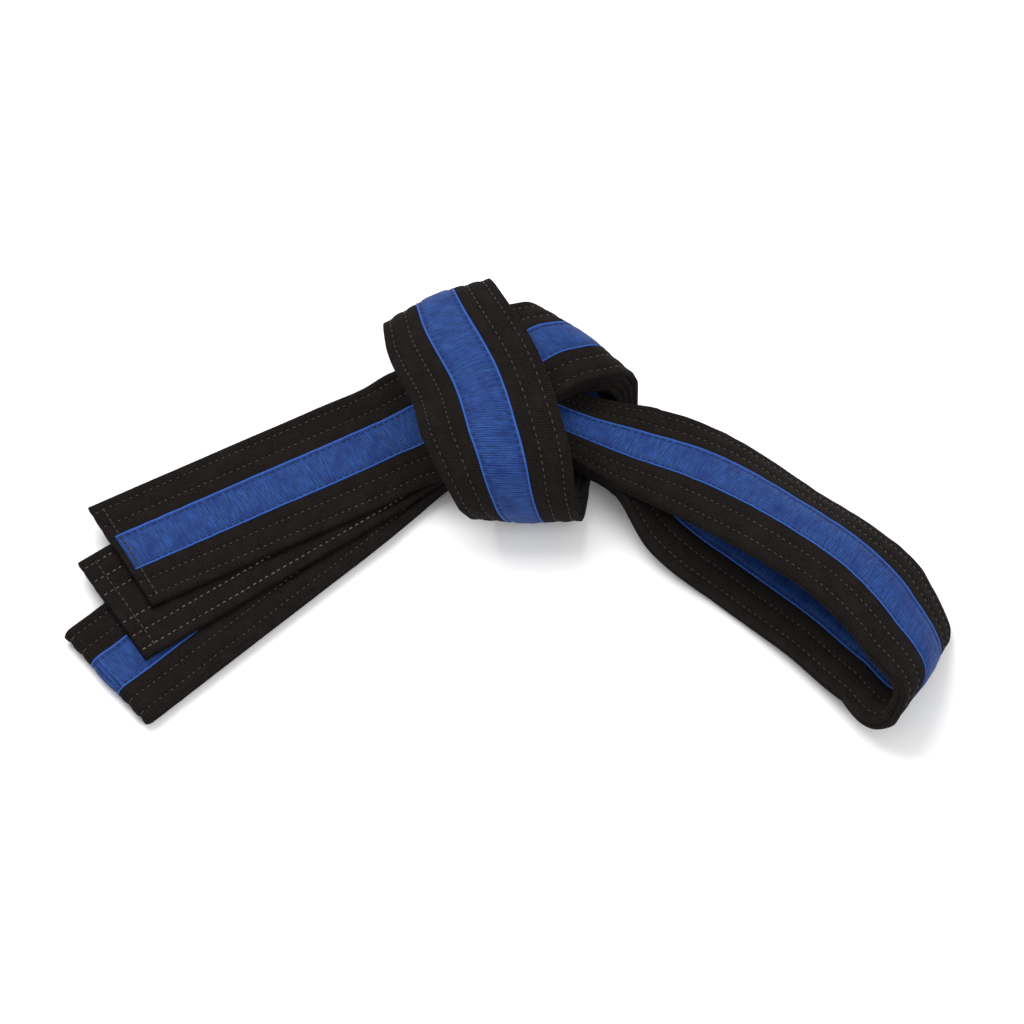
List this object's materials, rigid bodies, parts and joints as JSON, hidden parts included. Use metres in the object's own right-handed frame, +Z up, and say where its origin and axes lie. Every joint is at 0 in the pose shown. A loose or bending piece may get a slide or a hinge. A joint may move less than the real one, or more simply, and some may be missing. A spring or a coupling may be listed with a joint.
{
  "type": "martial arts belt",
  "caption": "Martial arts belt with a stripe down its middle, folded in four layers and tied in one knot with a loop.",
  "frame": {"origin": "under the middle of the belt's overall box, on the table", "axes": "+Z up from the table, -Y towards the front of the knot, +X towards the loop"},
  "size_m": [0.2558, 0.142, 0.0393],
  "materials": {
    "cotton_cover": "matte",
    "stiff_core": "matte",
    "ribbon": "satin",
    "thread": "matte"
  },
  "bodies": {
    "knot": {"knot_pass_1_cover": "cotton_cover", "knot_pass_1_core": "stiff_core", "knot_pass_1_ribbon": "ribbon", "knot_pass_2_cover": "cotton_cover", "knot_pass_2_core": "stiff_core", "knot_pass_2_ribbon": "ribbon", "knot_pass_3_cover": "cotton_cover", "knot_pass_3_core": "stiff_core", "knot_pass_3_ribbon": "ribbon", "knot_pass_4_cover": "cotton_cover", "knot_pass_4_core": "stiff_core", "knot_pass_4_ribbon": "ribbon"},
    "tail_top": {"tail_top_cover": "cotton_cover", "tail_top_core": "stiff_core", "tail_top_ribbon": "ribbon", "tail_top_hem_thread": "thread"},
    "tail_under": {"tail_under_cover": "cotton_cover", "tail_under_core": "stiff_core", "tail_under_ribbon": "ribbon", "tail_under_hem_thread": "thread"},
    "folded_end": {"folded_end_cover": "cotton_cover", "folded_end_core": "stiff_core", "folded_end_ribbon": "ribbon"},
    "loop": {"loop_outer_cover": "cotton_cover", "loop_outer_core": "stiff_core", "loop_outer_ribbon": "ribbon", "loop_inner_cover": "cotton_cover", "loop_inner_core": "stiff_core", "loop_inner_ribbon": "ribbon"}
  },
  "joints": [
    {"name": "folded_end_lift", "type": "hinge", "parent": "knot", "child": "folded_end", "pos_m": [-0.04042, 0.02051, 0.00863], "axis": [-0.4462, 0.8949, 0], "range_deg": [0, 20]},
    {"name": "tail_under_lift", "type": "hinge", "parent": "knot", "child": "tail_under", "pos_m": [-0.04042, 0.02051, 0.00863], "axis": [-0.4462, 0.8949, 0], "range_deg": [0, 26]},
    {"name": "tail_top_lift", "type": "hinge", "parent": "knot", "child": "tail_top", "pos_m": [-0.04042, 0.02051, 0.00863], "axis": [-0.4462, 0.8949, 0], "range_deg": [0, 32]},
    {"name": "loop_lift", "type": "hinge", "parent": "knot", "child": "loop", "pos_m": [0.0366, 0.01815, 0.01787], "axis": [-0.4695, -0.8829, 0], "range_deg": [0, 20]}
  ],
  "couplings": [
    {"joint": "tail_under_lift", "follows": "folded_end_lift", "ratio": 1.3},
    {"joint": "tail_top_lift", "follows": "folded_end_lift", "ratio": 1.6}
  ]
}
